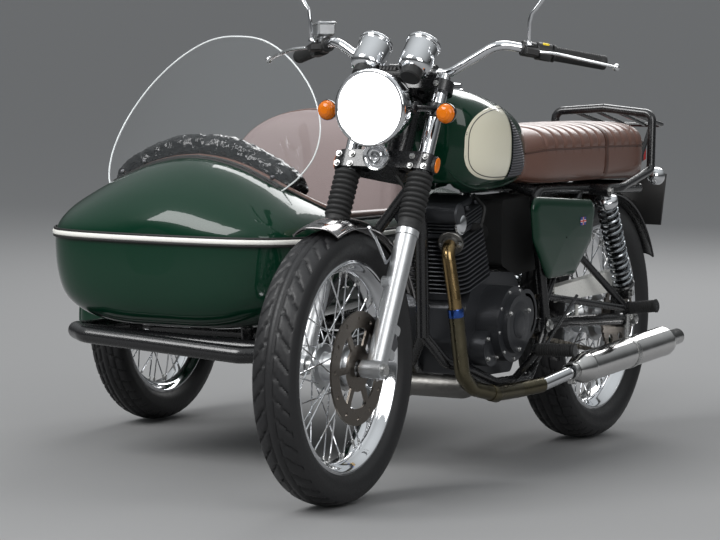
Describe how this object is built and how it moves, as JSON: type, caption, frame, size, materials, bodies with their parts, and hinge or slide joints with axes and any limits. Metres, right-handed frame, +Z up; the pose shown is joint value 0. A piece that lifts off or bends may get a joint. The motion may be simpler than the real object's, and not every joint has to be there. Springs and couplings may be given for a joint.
{
  "type": "sidecar motorcycle",
  "caption": "Classic road motorcycle with a one-seat sidecar on its right: wire wheels, twin exhausts, ribbed leather saddle and an oval windscreen.",
  "frame": {"origin": "on the ground under the middle of the whole machine's bounding box", "axes": "+X to the machine's left, +Y to its rear, +Z up; the sidecar is on -X"},
  "size_m": [1.6476, 2.229, 1.2781],
  "materials": {
    "tyre": "matte",
    "chrome": "polished",
    "disc_steel": "satin",
    "aluminium": "satin",
    "zinc_steel": "satin",
    "rubber": "matte",
    "black_paint": "satin",
    "lamp_glass": "clear",
    "amber": "gloss",
    "dark_aluminium": "satin",
    "engine_black": "matte",
    "black_plastic": "matte",
    "header_steel": "heat tinted",
    "green_paint": "gloss",
    "brown_leather": "semi matte",
    "red_lens": "gloss",
    "chain_steel": "oily",
    "white_trim": "gloss",
    "clear_screen": "clear",
    "black_vinyl": "crinkled"
  },
  "bodies": {
    "machine": {"main_frame": "black_paint", "crankcase": "engine_black", "engine_covers": "engine_black", "cylinder_and_head": "engine_black", "airbox": "black_plastic", "exhaust_headers": "header_steel", "silencers": "chrome", "fuel_tank": "green_paint", "side_covers": "green_paint", "saddle": "brown_leather", "rear_mudguard": "black_paint", "grab_rail_and_rack": "black_paint", "tail_lamp": "red_lens", "rear_indicators": "amber", "swing_arm": "black_paint", "rear_axle": "zinc_steel", "rear_shocks": "chrome", "drive_chain": "chain_steel", "chain_guard": "zinc_steel", "footpegs": "black_paint", "sidecar_tub": "green_paint", "sidecar_upper_body": "green_paint", "sidecar_belt_moulding": "white_trim", "sidecar_windscreen": "clear_screen", "cockpit_roll": "black_vinyl", "sidecar_seat": "brown_leather", "sidecar_chassis": "black_paint", "sidecar_wheel_arm": "black_paint", "sidecar_mudguard": "green_paint", "sidecar_lamp": "lamp_glass"},
    "fork": {"fork_sliders": "aluminium", "front_axle": "zinc_steel", "fork_stanchions": "chrome", "fork_gaiters": "rubber", "lower_yoke": "black_paint", "upper_yoke": "black_paint", "handlebar": "chrome", "grips": "rubber", "bar_controls": "black_paint", "mirrors": "chrome", "headlamp_shell": "chrome", "headlamp_lens": "lamp_glass", "headlamp_brackets": "black_paint", "front_indicators": "amber", "gauges": "chrome", "horn": "chrome", "side_reflectors": "amber", "front_mudguard": "chrome", "brake_caliper": "dark_aluminium", "brake_hose": "rubber"},
    "front_wheel": {"front_tyre": "tyre", "front_wire_wheel": "chrome", "front_brake_disc": "disc_steel"},
    "rear_wheel": {"rear_tyre": "tyre", "rear_wire_wheel": "chrome", "rear_sprocket": "disc_steel"},
    "sidecar_wheel": {"sidecar_tyre": "tyre", "sidecar_wire_wheel": "chrome"}
  },
  "joints": [
    {"name": "steering", "type": "hinge", "parent": "machine", "child": "fork", "pos_m": [0.37625, -0.73199, 0.316], "axis": [0, 0.454, 0.891], "range_deg": [-32, 32]},
    {"name": "front_wheel_spin", "type": "hinge", "parent": "fork", "child": "front_wheel", "pos_m": [0.37625, -0.7985, 0.316], "axis": [1, 0, 0], "continuous": true},
    {"name": "rear_wheel_spin", "type": "hinge", "parent": "machine", "child": "rear_wheel", "pos_m": [0.37625, 0.6015, 0.319], "axis": [1, 0, 0], "continuous": true},
    {"name": "sidecar_wheel_spin", "type": "hinge", "parent": "machine", "child": "sidecar_wheel", "pos_m": [-0.76375, 0.3315, 0.3], "axis": [1, 0, 0], "continuous": true}
  ]
}
